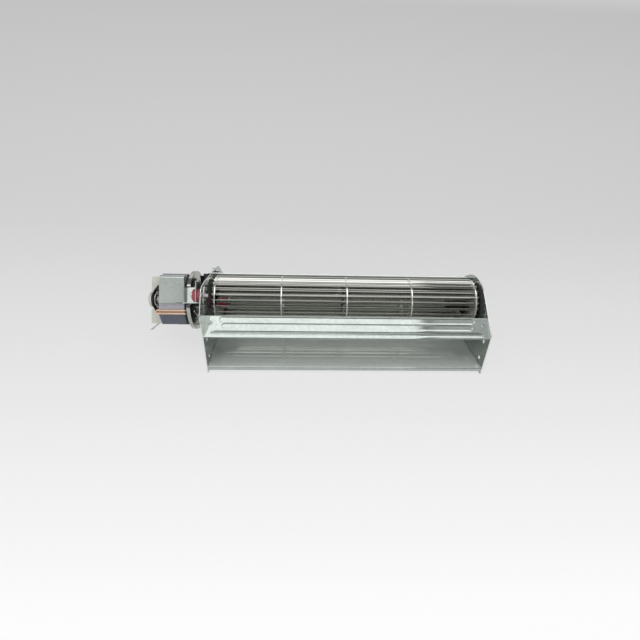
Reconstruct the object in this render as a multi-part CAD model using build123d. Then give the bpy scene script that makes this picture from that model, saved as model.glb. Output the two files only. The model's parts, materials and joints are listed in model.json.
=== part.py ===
from build123d import *
from math import acos, atan2, cos, degrees, hypot, radians, sin
import os

os.makedirs("parts", exist_ok=True)

# Cross flow fan, millimetres. It is built about the wheel's axis, which runs along X with the
# motor at -X. Air leaves at the front, -Y, and +Z is up. At the end everything is moved so that
# the origin is the middle of the outlet lip's front face.

# Wheel. Each blade is a circular arc, radial at its inner edge and flatter at its outer edge.
WHEEL_R = 30.0
WHEEL_LENGTH = 300.0
SPANS = 4
BLADES = 26
BLADE_T = 0.5
BLADE_OUTER_R = 29.3
BLADE_INNER_R = 23.2
BLADE_OUTER_ANGLE = 28.0
BLADE_END = 3.0
DISC_T = 1.4
DISC_HOLE_R = 19.0
END_DISC_HOLE_R = 8.0
# Balance clips: the middle of each along the wheel, and the blade that it sits on
CLIPS = ((-9.0, 9), (-12.0, 10), (8.0, 11), (8.0, 12), (66.0, 11), (62.0, 12), (138.0, 2))
CLIP_LENGTH = 4.0
CLIP_DEPTH = 2.6
CLIP_WALL = 0.35
SHAFT_R = 3.0
RUNNING_GAP = 0.05
COUPLING_R = 10.0
COUPLING_END_X = -139.5
HUB_X = (126.0, 150.5)

# Sheet metal housing
SHEET = 1.0
DUCT_LENGTH = 312.0
FRONT = -65.0
REAR = 60.0
FOOT = -59.0
FLOOR = -50.0
LIP_BOTTOM = -54.5
SLOPE_LOW = (-65.0, -11.0)
RIDGE = (-47.0, 6.4)
TONGUE_TIP = (-30.3, -13.6)
SCROLL_START_DEG = 37.0
SCROLL_START_R = 34.0
SPIRAL_LEAN = 8.0
FLARE = 3.0
FLARE_DEG = 112.0
TAB_WIDTH = 8.0
SHEET_BEND = 1.5
# Pressed beads of the front plate: lower edge, upper edge and half length on the slope
BEADS = ((16.6, 23.4, 141.0), (9.6, 16.0, 138.0), (3.0, 6.6, 149.0))
BEAD_DEPTH = 0.9
BEAD_TAPER = 50.0
FIX_HOLE_R = 2.1
FIX_HOLE_Y = -53.0
FIX_HOLE_Z = (-21.5, -43.5)
RIVET_INSET = 6.0
RIVET_U = 16.0
RIVET_R = 1.6
RUBBER_HOLE_R = 23.0
RUBBER_R = 27.6
BEARING_X = (152.6, 162.0)
BEARING_R = 6.0
EARTH_SCREW = (20.0, 29.5)

# Motor: a laminated C frame turned about the shaft so that its closed end looks up and forward
MOTOR_TILT = -30.0
STACK_X = (-211.0, -183.0)
FRAME_HALF = 29.0
FRAME_CORNER = 11.5
COIL_END = 52.0
BORE_R = 15.1
ROTOR_R = 14.7
CORE_T = (36.0, 50.0)
CORE_W = 19.5
WINDOW_T = 19.0
WINDING_T = 4.5
TAPE_T = 0.5
BOBBIN_WALL = 1.3
FLANGE_T = 1.5
HOUSING_X = (-234.6, -214.6)
HOUSING_T = (11.0, 24.0)
HOUSING_W = 28.5
FLANGE_END_T = 57.6
TERMINAL = (2.8, 0.5)
TERMINAL_T = (17.0, 21.5)
TERMINAL_X = -229.5
TERMINAL_SLANT = -40.0
# Shading rings: the places of their wires in the pole slots, and outside the frame
SHADE_HOLES = ((-12.9, -11.6), (-9.8, -14.7))
SHADE_OUT_W = (-13.7, -16.9)
WIRE_R = 1.1
SCREW_R = 1.95
SCREW_HOLE_R = 2.1
STRAP_T = 1.5
STRAP_HALF = 8.0
STRAP_FOOT_W = 19.0
STRAP_SCREW_W = 25.0
LEFT_STRAP_TOP = -226.0
THROUGH_X = (-245.0, -165.0)
CUP_R = 7.6
CUP_END_X = (-229.6, -170.6)
CUP_WALL = 1.0
RIGHT_BUSH_X = -177.4
BUSH_R = 6.4
CAP_R = 9.0
CAP_X = (-231.2, -227.7)
RETAINER_X = -224.6
MOUNT_T = 54.0
MOUNT_W = 2.0
MOUNT_SCREW_END = 5.4
LUG_X = (-162.0, -161.0)
LUG_HOLE_R = 4.6
GROMMET_R = 7.2
SLEEVE_R = 2.6
ARM_T = -39.0
ARM_W = (-5.5, 12.0)
ARM_RIM = 1.2
LUG_END_T = 62.0
FOLD_REACH = 7.0
FOLD_W = (24.6, 26.2)
FOLD_BEND = 2.4
SHIELD_X = -176.5
SHIELD_T = 0.8
SHIELD_R = 34.5
SHIELD_RIM = 3.2
SHIELD_RIVET_W = 12.0
SHIELD_RIVET_R = 1.3
SLOT_R = 22.0
SLOT_TURN = -28.0
FAN_X = (-169.5, -161.5)
FAN_R = 32.0
FAN_HUB_R = 7.0
FAN_VANES = 12
SHAFT_START_X = -229.9
THRUST_WASHER_X = (-223.7, -181.0)
THRUST_WASHER = (1.0, 1.2)

PLATE_X = DUCT_LENGTH / 2
LIP_MIDDLE_Z = (FLOOR + LIP_BOTTOM) / 2


def turned(*corners):
    """A solid of revolution about the wheel's axis, from (x, radius) corners."""
    return revolve(make_face(Polyline(*corners, close=True)), Axis.X)


def ring(x0, x1, r_in, r_out):
    return turned((x0, r_in), (x1, r_in), (x1, r_out), (x0, r_out))


def across(outline, x0, x1):
    """A flat (y, z) outline given its thickness from x0 to x1."""
    return Pos(x0, 0, 0) * extrude(Plane.YZ * outline, x1 - x0)


def block(x, y, z):
    """A box between low and high pairs."""
    size = [b - a for a, b in (x, y, z)]
    middle = [(a + b) / 2 for a, b in (x, y, z)]
    return Pos(*middle) * Box(*size)


def rod(x0, x1, y, z, r):
    return Pos((x0 + x1) / 2, y, z) * Rot(0, 90, 0) * Cylinder(r, x1 - x0)


def tube(x0, x1, y, z, r_in, r_out):
    return rod(x0, x1, y, z, r_out) - rod(x0 - 1, x1 + 1, y, z, r_in)


def polar(r, degrees):
    return (r * cos(radians(degrees)), r * sin(radians(degrees)))


def hexagon(x0, x1, y, z, across_flats):
    outline = RegularPolygon(across_flats / 2, 6, major_radius=False)
    return across(Pos(y, z) * outline, x0, x1)


def mirrored(solid):
    return mirror(solid, Plane.YZ)


# Wheel


def blade_outline():
    """An arc strip, radial at its inner edge, that bends to its outer edge's angle."""
    lean = cos(radians(BLADE_OUTER_ANGLE))
    arc_r = (BLADE_OUTER_R**2 - BLADE_INNER_R**2) / (2 * BLADE_OUTER_R * lean)
    pitch_r = hypot(BLADE_INNER_R, arc_r)
    reach = (pitch_r**2 + arc_r**2 - BLADE_OUTER_R**2) / (2 * pitch_r * arc_r)
    turn = degrees(acos(reach)) - degrees(atan2(BLADE_INNER_R, arc_r))
    centre = (BLADE_INNER_R, -arc_r)
    half = BLADE_T / 2
    outer = CenterArc(centre, arc_r + half, 90, -turn)
    inner = CenterArc(centre, arc_r - half, 90, -turn)
    ends = [Line(outer @ 0, inner @ 0), Line(outer @ 1, inner @ 1)]
    return make_face([outer, inner, *ends])


def blade_ring(x0, x1):
    """The blades stand half a pitch off the level."""
    blade = across(blade_outline(), x0, x1)
    return [Rot(360 * (i + 0.5) / BLADES, 0, 0) * blade for i in range(BLADES)]


def wheel_disc(x, hole_r):
    """A disc with a slot for every blade."""
    half = DISC_T / 2
    slots = blade_ring(x - DISC_T, x + DISC_T)
    return ring(x - half, x + half, hole_r, WHEEL_R) - slots


def disc_positions():
    pitch = WHEEL_LENGTH / SPANS
    return [-WHEEL_LENGTH / 2 + pitch * i for i in range(SPANS + 1)]


def blades():
    end = WHEEL_LENGTH / 2 + BLADE_END
    return blade_ring(-end, end)


def balance_clips():
    """Small sprung channels pushed over the outer edges of a few blades."""
    clip = clip_outline()
    half = CLIP_LENGTH / 2
    return [
        across(Rot(0, 0, 360 * (index + 0.5) / BLADES) * clip, x - half, x + half)
        for x, index in CLIPS
    ]


def clip_outline():
    """The outer end of a blade made thicker, with the blade itself left out."""
    blade = blade_outline()
    reach = Circle(WHEEL_R - CLIP_WALL) - Circle(BLADE_OUTER_R - CLIP_DEPTH)
    return (offset(blade, CLIP_WALL) & reach) - blade


def rubber_coupling():
    """A stepped rubber boss held in the motor end disc by a groove."""
    low, high = disc_faces(0)
    r, neck = COUPLING_R, END_DISC_HOLE_R
    return turned(
        (low - 5.5, 5.0), (COUPLING_END_X, 5.0), (COUPLING_END_X, r - 1.5),
        (COUPLING_END_X - 1.5, r), (high, r), (high, neck), (low, neck), (low, r),
        (low - 4.0, r), (low - 5.5, r - 1.5),
    )


def disc_faces(number):
    x = disc_positions()[number]
    return x - DISC_T / 2, x + DISC_T / 2


def coupling_insert():
    return ring(disc_faces(0)[0] - 6.5, COUPLING_END_X + 1.5, SHAFT_R, 5.0)


def end_hub():
    """The moulded hub in the bearing end disc, with a flange on its inner side."""
    low, high = disc_faces(SPANS)
    start = HUB_X[0]
    flange_r = 13.0
    return turned(
        (start, 0.0), (start, 7.5), (start + 1.5, 9.0), (low - 4.0, 9.0), (low - 4.0, flange_r),
        (low, flange_r), (low, END_DISC_HOLE_R), (high, END_DISC_HOLE_R), (high, SHAFT_R),
        (start + 2.0, SHAFT_R), (start + 2.0, 0.0),
    )


def stub_shaft():
    start, end = HUB_X[0] + 2.0, 164.5
    return turned(
        (start, 0.0), (start, SHAFT_R), (end - 0.5, SHAFT_R), (end, SHAFT_R - 0.5), (end, 0.0)
    )


# Housing


def side_plate(corners, radii, centre_hole_r):
    outline = make_face(FilletPolyline(*corners, radius=radii, close=True))
    outline -= Circle(centre_hole_r)
    for z in FIX_HOLE_Z:
        outline -= Pos(FIX_HOLE_Y, z) * Circle(FIX_HOLE_R)
    for y, z in scroll_tab_places():
        slot = Rectangle(TAB_WIDTH + 0.4, SHEET + 0.3)
        outline -= Pos(y, z) * Rot(0, 0, tab_angle(y, z)) * slot
    return outline


def flap():
    """The side plate's inward flange that carries the end of the front plate."""
    return on_slope((PLATE_X - 13.0, PLATE_X + SHEET / 2), (8.0, 21.0), (-2 * SHEET, -SHEET))


def on_slope(x, u, depth):
    """A box on the front slope: u runs up the slope from its lower edge, depth out of it."""
    box = block(x, u, depth)
    return Pos(0, *SLOPE_LOW) * Rot(slope_angle(), 0, 0) * box


def slope_angle():
    run = Vector(RIDGE[0] - SLOPE_LOW[0], RIDGE[1] - SLOPE_LOW[1])
    return Vector(1, 0).get_angle(run)


def slope_rivet_hole():
    hole = Pos(PLATE_X - RIVET_INSET, RIVET_U, 0) * Cylinder(RIVET_R, 12.0)
    return Pos(0, *SLOPE_LOW) * Rot(slope_angle(), 0, 0) * hole


def side_plate_left():
    corners = [
        (FRONT, FOOT), (FRONT, -8.0), (-66.8, -5.0), (-66.8, 15.5), (-48.5, 39.2), (-29.0, 38.8),
        (38.0, 29.3), (REAR, 9.0), (REAR, FOOT),
    ]
    outline = side_plate(corners, [1, 2, 2, 12, 8, 20, 16, 6, 8], 16.0)
    for y, z in mount_places():
        outline -= Pos(y, z) * Circle(SCREW_R + RUNNING_GAP)
    outline -= Pos(*EARTH_SCREW) * Circle(1.5)
    plate = across(outline, -PLATE_X - SHEET, -PLATE_X)
    return plate + mirrored(flap()) - mirrored(slope_rivet_hole())


def side_plate_right():
    corners = [(FRONT, FOOT), (FRONT, -7.0), (-2.9, 44.8), (REAR, 5.0), (REAR, FOOT)]
    outline = side_plate(corners, [1, 4, 45, 6, 8], RUBBER_HOLE_R)
    plate = across(outline, PLATE_X, PLATE_X + SHEET)
    return plate + flap() - slope_rivet_hole()


def scroll_radius(degrees):
    """The scroll opens evenly from its start over the wheel to the floor."""
    share = (SCROLL_START_DEG - degrees) / (SCROLL_START_DEG + 90)
    return SCROLL_START_R + (-FLOOR - SCROLL_START_R) * share


def scroll_tab_places():
    outside = SHEET / 2
    angles = (15.0, -45.0)
    places = [polar(scroll_radius(a) + outside, a) for a in angles]
    return places + [(-22.0, FLOOR - outside)]


def tab_angle(y, z):
    """The direction of the scroll sheet where a tab stands."""
    if z < FLOOR:
        return 0.0
    return Vector(1, 0).get_angle(Vector(y, z)) * (1 if z > 0 else -1) + 90 - SPIRAL_LEAN


def scroll_curve(outward):
    """The spiral from its start over the wheel to where it meets the floor."""
    steps = 5
    span = SCROLL_START_DEG + 90
    angles = [SCROLL_START_DEG - span * i / steps for i in range(steps + 1)]
    points = [polar(scroll_radius(a) + outward, a) for a in angles]
    start_deg = SCROLL_START_DEG - 90 + SPIRAL_LEAN
    return Spline(*points, tangents=(polar(1, start_deg), (-1, 0)))


def scroll_wall():
    """One sheet: a flare and a spiral behind the wheel, the duct floor and a lip in front."""
    inside, outside = scroll_curve(0), scroll_curve(SHEET)
    over = FilletPolyline(inside @ 1, (FRONT, FLOOR), (FRONT, LIP_BOTTOM), radius=SHEET_BEND)
    under = FilletPolyline(
        (FRONT + SHEET, LIP_BOTTOM), (FRONT + SHEET, FLOOR - SHEET), outside @ 1,
        radius=SHEET_BEND - SHEET,
    )
    flare = Vector(*polar(FLARE, FLARE_DEG))
    flared_end = Polyline(outside @ 0, outside @ 0 + flare, inside @ 0 + flare, inside @ 0)
    lip_end = Line(over @ 1, under @ 0)
    edges = [inside, *over.edges(), lip_end, *under.edges(), outside, *flared_end.edges()]
    wall = across(make_face(edges), -PLATE_X, PLATE_X)
    tabs = []
    for y, z in scroll_tab_places():
        tab = Pos(y, z) * Rot(0, 0, tab_angle(y, z)) * Rectangle(TAB_WIDTH, SHEET * 0.8)
        tabs.append(across(tab, -PLATE_X - 2.2, -PLATE_X + 0.5))
        tabs.append(across(tab, PLATE_X - 0.5, PLATE_X + 2.2))
    return wall + tabs


def bead(low_u, high_u, half_length):
    """The groove and the raised back of one pressed bead of the front plate."""
    middle = Pos(0, (low_u + high_u) / 2)
    outline = middle * SlotOverall(2 * half_length, high_u - low_u)
    place = Pos(0, *SLOPE_LOW) * Rot(slope_angle(), 0, 0)
    groove = place * extrude(outline, -BEAD_DEPTH, taper=BEAD_TAPER)
    rib = place * Pos(0, 0, -SHEET) * extrude(outline, -BEAD_DEPTH, taper=BEAD_TAPER)
    return groove, rib


def front_plate():
    """One sheet: the beaded slope over the outlet, a ridge, and a tongue down to the wheel."""
    path = FilletPolyline(SLOPE_LOW, RIDGE, TONGUE_TIP, radius=SHEET_BEND)
    section = make_face(offset(Wire(path.edges()), SHEET, side=Side.RIGHT))
    plate = across(section, -PLATE_X, PLATE_X)
    for groove, rib in [bead(*size) for size in BEADS]:
        plate = plate + rib - groove
    hole = slope_rivet_hole()
    return plate - hole - mirrored(hole)


def front_rivets():
    """Hollow rivets whose rolled heads lie on the front plate."""
    head = extrude(Circle(2.6), 1.0, taper=35)
    shank = Pos(0, 0, -1.5) * Cylinder(RIVET_R, 3.0)
    tail = Pos(0, 0, -2.5) * Cylinder(2.2, 1.0)
    bore = Cylinder(0.9, 12.0)
    rivet = Pos(PLATE_X - RIVET_INSET, RIVET_U, 0) * (head + shank + tail - bore)
    rivet = Pos(0, *SLOPE_LOW) * Rot(slope_angle(), 0, 0) * rivet
    return [rivet, mirrored(rivet)]


def bearing_mount_rubber():
    """A rubber diaphragm gripped in the bearing end plate, with the bearing in its middle."""
    low, high = PLATE_X, PLATE_X + SHEET
    start, end = BEARING_X
    return turned(
        (start, BEARING_R), (start, 10.0), (start + 1.8, 12.0), (start + 1.8, RUBBER_R - 0.6),
        (start + 2.4, RUBBER_R), (low, RUBBER_R), (low, RUBBER_HOLE_R), (high, RUBBER_HOLE_R),
        (high, 26.0), (high + 1.4, 25.0), (high + 1.4, 12.0), (end, 10.0), (end, BEARING_R),
    )


def bearing_bush_right():
    return ring(*BEARING_X, SHAFT_R + RUNNING_GAP, BEARING_R)


def earth_screw():
    """A small slotted screw whose end stands out inside the plate."""
    y, z = EARTH_SCREW
    outer = -PLATE_X - SHEET
    head = rod(outer - 2.4, outer, y, z, 3.4)
    slot = block((outer - 3.0, outer - 1.4), (y - 4, y + 4), (z - 0.5, z + 0.5))
    return head - slot + rod(outer, -PLATE_X + 5.0, y, z, 1.5)


# Motor. These are made upright, with the coil towards +Y, and then tilted about the shaft.


def tilted(shape):
    return Rot(MOTOR_TILT, 0, 0) * shape


def from_motor(t, w):
    """A point of the motor's own section as (y, z)."""
    angle = radians(MOTOR_TILT)
    return (t * cos(angle) - w * sin(angle), t * sin(angle) + w * cos(angle))


def mount_places():
    return [from_motor(-MOUNT_T, MOUNT_W), from_motor(MOUNT_T, MOUNT_W)]


def stator_stack():
    """The C frame with its bore, the window behind the poles and the slots for the rings."""
    h = FRAME_HALF
    c = FRAME_CORNER
    outline = make_face(Polyline(
        (-h, c - h), (c - h, -h), (COIL_END, -h), (COIL_END, -CORE_W), (WINDOW_T, -CORE_W),
        (WINDOW_T, CORE_W), (COIL_END, CORE_W), (COIL_END, h), (c - h, h), (-h, h - c),
        close=True,
    ))
    outline -= Circle(BORE_R)
    for sign in (1, -1):
        for t, w in SHADE_HOLES:
            slit_turn = Vector(t, w).get_angle(Vector(1, 0))
            slit = Pos(0.9 * t, 0.9 * w) * Rot(0, 0, -slit_turn) * Rectangle(4.0, 0.8)
            wire_hole = Pos(t, w) * Circle(WIRE_R + 0.15)
            outline -= Rot(0, 0, 90 - 90 * sign) * (slit + wire_hole)
        for t in (0, COIL_END - 6.0):
            outline -= Pos(t, sign * STRAP_SCREW_W) * Circle(SCREW_HOLE_R)
    return across(outline, *STACK_X)


def shading_rings():
    """Thick copper loops through the pole slots and round the outside of the frame."""
    rings = []
    x0, x1 = STACK_X[0] - 1.9, STACK_X[1] + 1.9
    for sign in (1, -1):
        face_t = FRAME_HALF if sign == 1 else WINDOW_T
        for (t, w), out_w in zip(SHADE_HOLES, SHADE_OUT_W):
            inner = (sign * t, sign * w)
            outer = (-sign * (face_t + WIRE_R), sign * out_w)
            corners = [(x0, *inner), (x1, *inner), (x1, *outer), (x0, *outer)]
            path = FilletPolyline(*corners, radius=1.8, close=True)
            start = path.edges()[0]
            section = Plane(start @ 0, z_dir=start % 0) * Circle(WIRE_R)
            rings.append(sweep(section, path=Wire(path.edges())))
    return rings


def coil_core():
    return block(STACK_X, CORE_T, (-CORE_W, CORE_W))


def coil_bobbin():
    """The nylon former on the core bar, with the terminal housing on its free side."""
    x0, x1 = STACK_X
    inner_w = CORE_W - FLANGE_T
    half = [
        block((x0 - 7.0, x1 + 5.6), (28.0, FLANGE_END_T), (inner_w, CORE_W)),
        block(HOUSING_X, (HOUSING_T[0], FLANGE_END_T), (inner_w, CORE_W)),
        block(HOUSING_X, (HOUSING_T[0], HOUSING_T[0] + 1.6), (CORE_W - 9.0, HOUSING_W)),
        block(HOUSING_X, HOUSING_T, (HOUSING_W - FLANGE_T, HOUSING_W)),
    ]
    other_half = [mirror(wall, Plane.XY) for wall in half]
    hole = block(STACK_X, CORE_T, (-CORE_W - 1, CORE_W + 1))
    return coil_sleeve(0, BOBBIN_WALL) + half + other_half - hole


def coil_winding():
    """The winding, a rounded sleeve of wire between the flanges."""
    return coil_sleeve(BOBBIN_WALL, WINDING_T - TAPE_T)


def coil_tape():
    return coil_sleeve(BOBBIN_WALL + WINDING_T - TAPE_T, TAPE_T)


def coil_sleeve(inner, thickness):
    x_mid = sum(STACK_X) / 2
    t_mid = sum(CORE_T) / 2
    length = STACK_X[1] - STACK_X[0] + 2 * inner
    width = CORE_T[1] - CORE_T[0] + 2 * inner
    grown = inner + thickness
    hole = RectangleRounded(length, width, inner) if inner else Rectangle(length, width)
    outer = RectangleRounded(length + 2 * thickness, width + 2 * thickness, grown)
    height = 2 * (CORE_W - FLANGE_T)
    return Pos(x_mid, t_mid, -height / 2) * extrude(outer - hole, height)


def terminal_tabs():
    """Blade terminals that slant out of the lower end of the terminal housing."""
    width, thickness = TERMINAL
    blade = block((-11.0, 1.0), (-width / 2, width / 2), (-thickness / 2, thickness / 2))
    blade -= Pos(-8.0, 0, 0) * Cylinder(1.0, 2.0)
    housing = block((-240.0, -220.0), (0.0, 40.0), (-HOUSING_W, 0.0))
    slant = Rot(0, TERMINAL_SLANT, 0)
    return [Pos(TERMINAL_X, t, -HOUSING_W - 1.1) * slant * blade - housing for t in TERMINAL_T]


def strap_feet(x0, x1):
    feet = []
    for sign in (1, -1):
        w = sorted((sign * STRAP_FOOT_W, sign * (FRAME_HALF - 0.5)))
        foot = block((x0, x1), (-STRAP_HALF, STRAP_HALF), w)
        feet.append(foot - rod(x0 - 1, x1 + 1, 0, sign * STRAP_SCREW_W, SCREW_HOLE_R))
    return feet


def bearing_bracket_left():
    """A pressed strap that arches over the rotor's end and carries the bush in a drawn cup."""
    face = STACK_X[0]
    top = LEFT_STRAP_TOP
    foot_w = STRAP_FOOT_W + 0.5
    inner = ThreePointArc((face, foot_w), (top, 0.0), (face, -foot_w))
    section = make_face(offset(Wire([inner]), STRAP_T, side=Side.RIGHT))
    arch = Pos(0, STRAP_HALF, 0) * extrude(Plane.XZ * section, 2 * STRAP_HALF)
    strap = arch + strap_feet(face - STRAP_T, face) - ring(*THROUGH_X, 0, BUSH_R)
    end = CUP_END_X[0]
    floor = end + CUP_WALL
    cup = turned(
        (top + 0.4, BUSH_R), (floor, BUSH_R), (floor, 4.0), (end, 4.0), (end, CUP_R),
        (top + 0.4, CUP_R),
    )
    return strap + cup


def bearing_bracket_right():
    """A flat topped strap that also carries the heat shield."""
    face = STACK_X[1]
    top = SHIELD_X
    x0 = face + STRAP_T
    line = Polyline((face, 22.5), (top, 16.0), (top, -16.0), (face, -22.5))
    section = make_face(offset(Wire(line.edges()), STRAP_T, side=Side.RIGHT))
    bridge = Pos(0, STRAP_HALF, 0) * extrude(Plane.XZ * section, 2 * STRAP_HALF)
    bridge -= block((face - 5.0, face), (-STRAP_HALF, STRAP_HALF), (-FRAME_HALF, FRAME_HALF))
    strap = bridge + strap_feet(face, x0) - ring(*THROUGH_X, 0, BUSH_R)
    for sign in (1, -1):
        strap -= rod(*THROUGH_X, 0, sign * SHIELD_RIVET_W, SHIELD_RIVET_R)
    end = CUP_END_X[1]
    floor = end - CUP_WALL
    cup = turned(
        (top - STRAP_T, BUSH_R), (floor, BUSH_R), (floor, 4.0), (end, 4.0), (end, CUP_R),
        (top - STRAP_T, CUP_R),
    )
    return strap + cup


def bush(x0, x1):
    return turned(
        (x0, SHAFT_R + RUNNING_GAP), (x1, SHAFT_R + RUNNING_GAP), (x1, BUSH_R - 1.0),
        (x1 - 1.0, BUSH_R), (x0 + 1.0, BUSH_R), (x0, BUSH_R - 1.0),
    )


def bush_retainer_left():
    """A bright dished spring ring that holds the bush in its cup."""
    start = RETAINER_X
    return turned(
        (start, 4.4), (start, 6.4), (start + 1.4, 10.3), (start + 2.2, 10.3),
        (start + 0.8, 6.0), (start + 0.8, 4.4),
    )


def bush_retainer_right():
    return ring(RIGHT_BUSH_X - 0.6, RIGHT_BUSH_X, 4.4, BUSH_R)


def bearing_cap():
    """A moulded dust cap over the drawn cup of the free bearing."""
    end, mouth = CAP_X
    inner = end + 1.0
    return turned(
        (end, 0.0), (end, CAP_R - 1.4), (inner, CAP_R), (mouth, CAP_R), (mouth, CUP_R),
        (inner, CUP_R), (inner, 0.0),
    )


def motor_screws():
    screws = []
    for sign in (1, -1):
        w = sign * STRAP_SCREW_W
        seat = STACK_X[0] - STRAP_T
        head = rod(seat - 2.6, seat, 0, w, 3.6)
        screws.append(head + rod(seat, STACK_X[1] + 5.0, 0, w, SCREW_R))
    return screws


def motor_nuts():
    x0 = STACK_X[1] + STRAP_T
    nuts = []
    for sign in (1, -1):
        w = sign * STRAP_SCREW_W
        nuts.append(hexagon(x0, x0 + 2.6, 0, w, 7.0) - rod(x0 - 1, x0 + 4, 0, w, SCREW_R))
    return nuts


def mount_hole(t, w):
    return rod(LUG_X[0] - 5, LUG_X[1] + 5, t, w, LUG_HOLE_R)


def motor_bracket_front():
    """A plate folded over the closed end of the frame, with an arm and a lug for a grommet."""
    face = -FRAME_HALF
    start, end = STACK_X[0] + 0.5, STACK_X[1] - 0.5
    bend = (LUG_X[1], ARM_T)
    path = Polyline((start, face), (end, face), bend, (LUG_X[1], -LUG_END_T))
    strip = make_face(offset(Wire(path.edges()), SHEET, side=Side.RIGHT, kind=Kind.INTERSECTION))
    rim_path = Wire(path.edges()[:-1])
    rim_height = SHEET + ARM_RIM
    rim = make_face(offset(rim_path, rim_height, side=Side.RIGHT, kind=Kind.INTERSECTION))
    low, high = ARM_W
    arm = Pos(0, 0, low) * extrude(strip, high - low)
    lip = Pos(0, 0, low) * extrude(rim, SHEET)
    lug = block(LUG_X, (-LUG_END_T, ARM_T), (high - SHEET, high + 4.5))
    knee = (face, FOLD_W[0])
    over = (face + FOLD_REACH, FOLD_W[1])
    top = FilletPolyline((face, high - SHEET), knee, over, radius=FOLD_BEND)
    fold = make_face(offset(Wire(top.edges()), SHEET, side=Side.LEFT))
    plate = across(fold, start, end)
    return fuse_all(arm, lip, lug, plate) - mount_hole(-MOUNT_T, MOUNT_W)


def motor_bracket_rear():
    """A folded plate under the coil end of the frame, with a lug for the second grommet."""
    top = -FRAME_HALF
    under = top - SHEET
    foot = block((STACK_X[0] + 2, LUG_X[1]), (33.0, 50.0), (under, top))
    lug = block(LUG_X, (44.0, 60.0), (under, 10.0))
    stem = block(LUG_X, (33.0, 60.0), (under, top + 6.0))
    return fuse_all(foot, lug, stem) - mount_hole(MOUNT_T, MOUNT_W)


def fuse_all(first, *others):
    for other in others:
        first = first + other
    return first


def bracket_rivets():
    """Flat heads on the folded plate."""
    face = -FRAME_HALF - SHEET
    return [Pos(x, face, 18.0) * Rot(90, 0, 0) * extrude(Circle(1.6), 0.3) for x in (-204, -190)]


def grommet(t):
    """A rubber grommet: two rims and a neck in the lug's hole."""
    low, high = LUG_X
    section = [
        (low - 4.0, SLEEVE_R), (high + 4.0, SLEEVE_R), (high + 4.0, GROMMET_R - 1.2),
        (high + 2.8, GROMMET_R), (high, GROMMET_R), (high, LUG_HOLE_R), (low, LUG_HOLE_R),
        (low, GROMMET_R), (low - 2.8, GROMMET_R), (low - 4.0, GROMMET_R - 1.2),
    ]
    return Pos(0, t, MOUNT_W) * turned(*section)


def sleeve_start():
    return LUG_X[0] - 4.4


def mount_sleeve(t):
    return tube(sleeve_start(), -PLATE_X - SHEET, t, MOUNT_W, SCREW_R + 0.1, SLEEVE_R)


def mount_screw(t):
    """A low headed screw through the sleeve that cuts its own thread in the side plate."""
    x0 = sleeve_start()
    head = rod(x0 - 1.6, x0, t, MOUNT_W, 3.6)
    return head + rod(x0, -PLATE_X + MOUNT_SCREW_END, t, MOUNT_W, SCREW_R)


def heat_shield():
    """A dished plate between motor and housing, with a rim towards the motor and arc slots."""
    back = SHIELD_X + SHIELD_T
    rim_x = SHIELD_X - SHIELD_RIM
    hub_r = CUP_R + 0.6
    plate = turned(
        (SHIELD_X, hub_r), (back, hub_r), (back, SHIELD_R), (rim_x, SHIELD_R),
        (rim_x, SHIELD_R - SHIELD_T), (SHIELD_X, SHIELD_R - SHIELD_T),
    )
    for centre in (0, 90, 180, 270):
        path = CenterArc((0, 0), SLOT_R, centre + SLOT_TURN - 17, 34)
        plate -= across(SlotArc(path, 6.0), SHIELD_X - 1, back + 1)
    for sign in (1, -1):
        plate -= rod(*THROUGH_X, 0, sign * SHIELD_RIVET_W, SHIELD_RIVET_R)
    coil_gap = block((rim_x - 3, SHIELD_X), (26.0, 60.0), (-21.0, 21.0))
    arm_gap = block((rim_x - 3, back + 1), (-60.0, -30.0), (ARM_W[0] - 1.5, ARM_W[1] + 1.5))
    return plate - coil_gap - arm_gap


def shield_rivets():
    rivets = []
    under, back = SHIELD_X - STRAP_T, SHIELD_X + SHIELD_T
    for sign in (1, -1):
        w = sign * SHIELD_RIVET_W
        shank = rod(under - 0.6, back, 0, w, SHIELD_RIVET_R)
        heads = [rod(back, back + 0.8, 0, w, 2.2), rod(under - 0.6, under, 0, w, 2.0)]
        rivets.append(fuse_all(shank, *heads))
    return rivets


# Rotor of the motor


def motor_shaft():
    start, end = SHAFT_START_X, COUPLING_END_X + 1.5
    return turned(
        (start, 0.0), (start, SHAFT_R - 0.4), (start + 0.4, SHAFT_R), (end - 0.4, SHAFT_R),
        (end, SHAFT_R - 0.4), (end, 0.0),
    )


def rotor_ends():
    """The laminated core stands a little out of the stack at both ends."""
    return STACK_X[0] - 0.5, STACK_X[1] + 0.5


def rotor_core():
    return ring(*rotor_ends(), SHAFT_R, ROTOR_R)


def rotor_end_rings():
    left, right = rotor_ends()
    outer = ROTOR_R - 0.7
    return [ring(left - 3.0, left, 7.0, outer), ring(right, right + 1.8, 7.0, outer)]


def rotor_spacer():
    return ring(THRUST_WASHER_X[0] + THRUST_WASHER[0], rotor_ends()[0], SHAFT_R, 4.6)


def thrust_washers():
    return [
        ring(x, x + thickness, SHAFT_R, 5.2)
        for x, thickness in zip(THRUST_WASHER_X, THRUST_WASHER)
    ]


def cooling_fan():
    """A small radial fan on the shaft that blows over the motor."""
    x0, x1 = FAN_X
    web_x = x1 - 1.2
    fan = ring(x0, x1, SHAFT_R, FAN_HUB_R) + ring(web_x, x1, FAN_HUB_R - 0.5, FAN_R)
    vane = block((x0, web_x + 0.6), (FAN_HUB_R - 0.5, FAN_R - 0.4), (-0.6, 0.6))
    for i in range(FAN_VANES):
        fan += Rot(360 * i / FAN_VANES, 0, 0) * vane
    return fan


def fan_clip():
    return ring(FAN_X[1], FAN_X[1] + 0.8, SHAFT_R, 5.4)


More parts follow.
